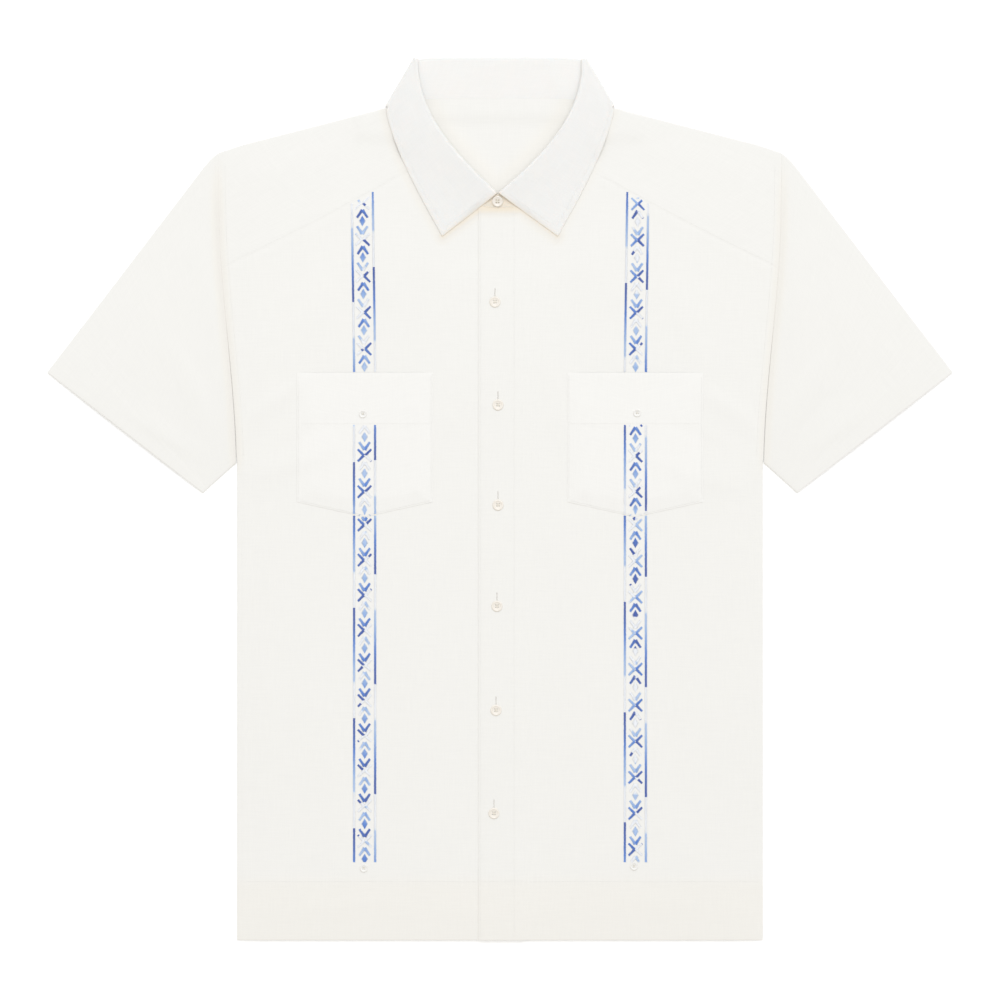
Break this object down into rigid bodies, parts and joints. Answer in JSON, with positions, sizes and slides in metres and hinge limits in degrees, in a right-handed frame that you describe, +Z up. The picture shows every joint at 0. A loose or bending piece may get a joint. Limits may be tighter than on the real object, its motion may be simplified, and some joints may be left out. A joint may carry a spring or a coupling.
{
  "type": "guayabera shirt",
  "caption": "Short-sleeved guayabera laid flat on its back, with a pointed collar, a slanted front yoke, patch pockets, a buttoned front and embroidered bands.",
  "frame": {"origin": "on the floor, below the middle of the shirt's outline", "axes": "+X to the wearer's left, which is the viewer's right; +Y from the hem to the collar; +Z up from the surface that the shirt lies on, out of its front"},
  "size_m": [0.8696, 0.8477, 0.0131],
  "materials": {
    "cloth": "off-white plain-weave linen and cotton, matt, with soft slubs",
    "button": "off-white pearly four-hole buttons, satin",
    "thread": "space-dyed embroidery thread, from white through pale blue to navy, with a slight sheen"
  },
  "bodies": {
    "root": {"back": "cloth", "yoke": "cloth", "front_left": "cloth", "front_right": "cloth", "sleeve_left": "cloth", "sleeve_right": "cloth", "collar_stand": "cloth", "collar_fall": "cloth", "pocket_left": "cloth", "pocket_right": "cloth", "button_1": "button", "button_2": "button", "button_3": "button", "button_4": "button", "button_5": "button", "button_6": "button", "button_collar": "button", "button_pocket_left": "button", "button_pocket_right": "button", "button_band_left": "button", "button_band_right": "button"}
  },
  "joints": []
}
